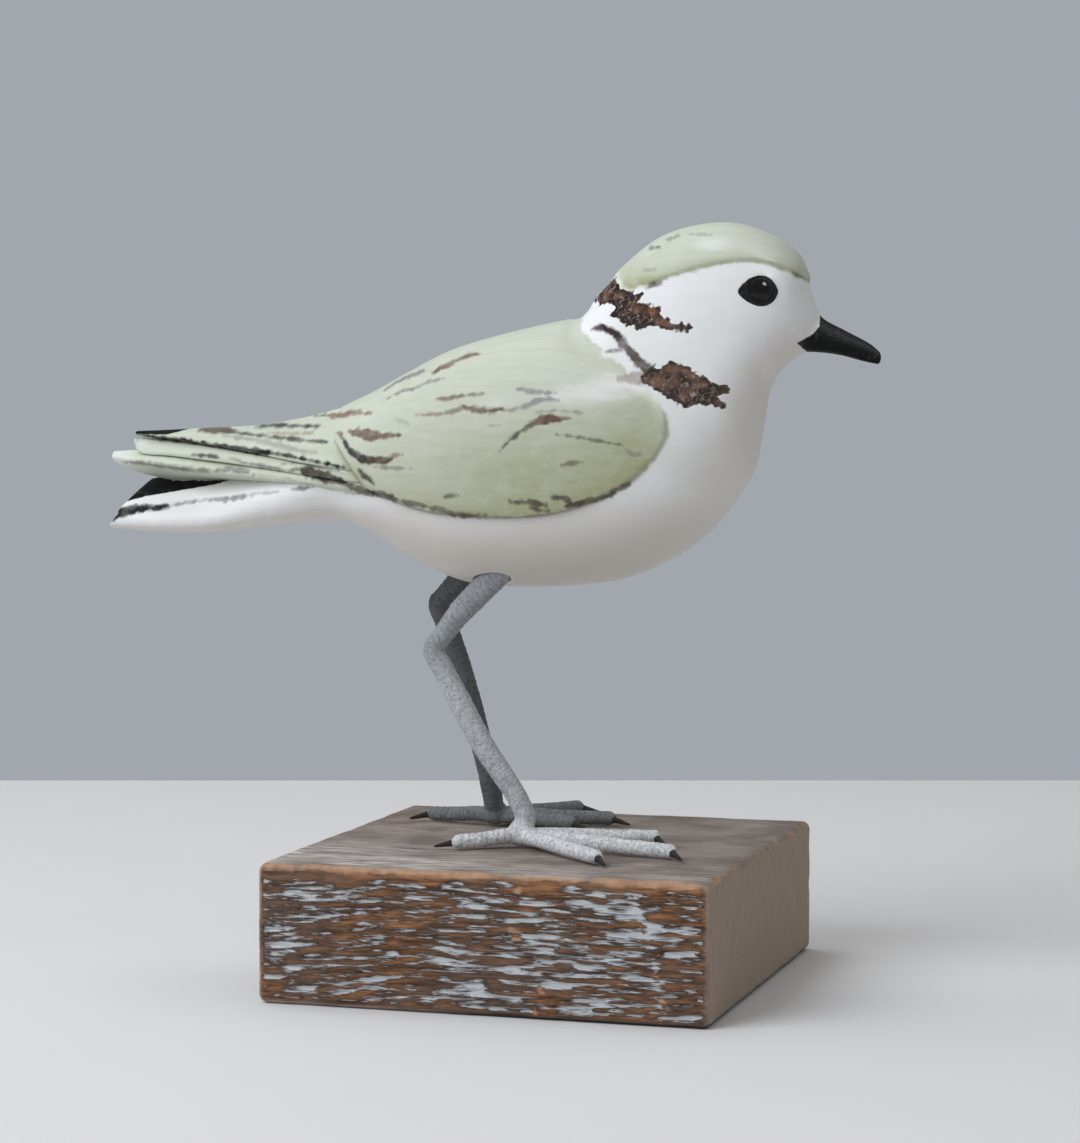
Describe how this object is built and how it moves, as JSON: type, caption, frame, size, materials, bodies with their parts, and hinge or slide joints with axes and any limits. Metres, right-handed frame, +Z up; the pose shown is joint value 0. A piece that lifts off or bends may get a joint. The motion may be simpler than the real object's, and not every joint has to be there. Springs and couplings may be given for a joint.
{
  "type": "shorebird decoy",
  "caption": "Small carved and painted wooden plover standing on wrapped wire legs on a square block of weathered plank.",
  "frame": {"origin": "centre of the block's underside", "axes": "+X the way the bird looks and the longest side, +Y its left, +Z up"},
  "size_m": [0.1717, 0.1, 0.1685],
  "materials": {
    "painted_wood": "chalk paint in white and pale green, rubbed back and waxed",
    "eye_bead": "glossy",
    "wrapped_wire": "matt grey paint over wrapped tape",
    "plank_block": "weathered and rough sawn, with rubbed whitewash"
  },
  "bodies": {
    "root": {"body": "painted_wood", "right_eye": "eye_bead", "left_eye": "eye_bead", "right_leg": "wrapped_wire", "left_leg": "wrapped_wire", "block": "plank_block"}
  },
  "joints": []
}
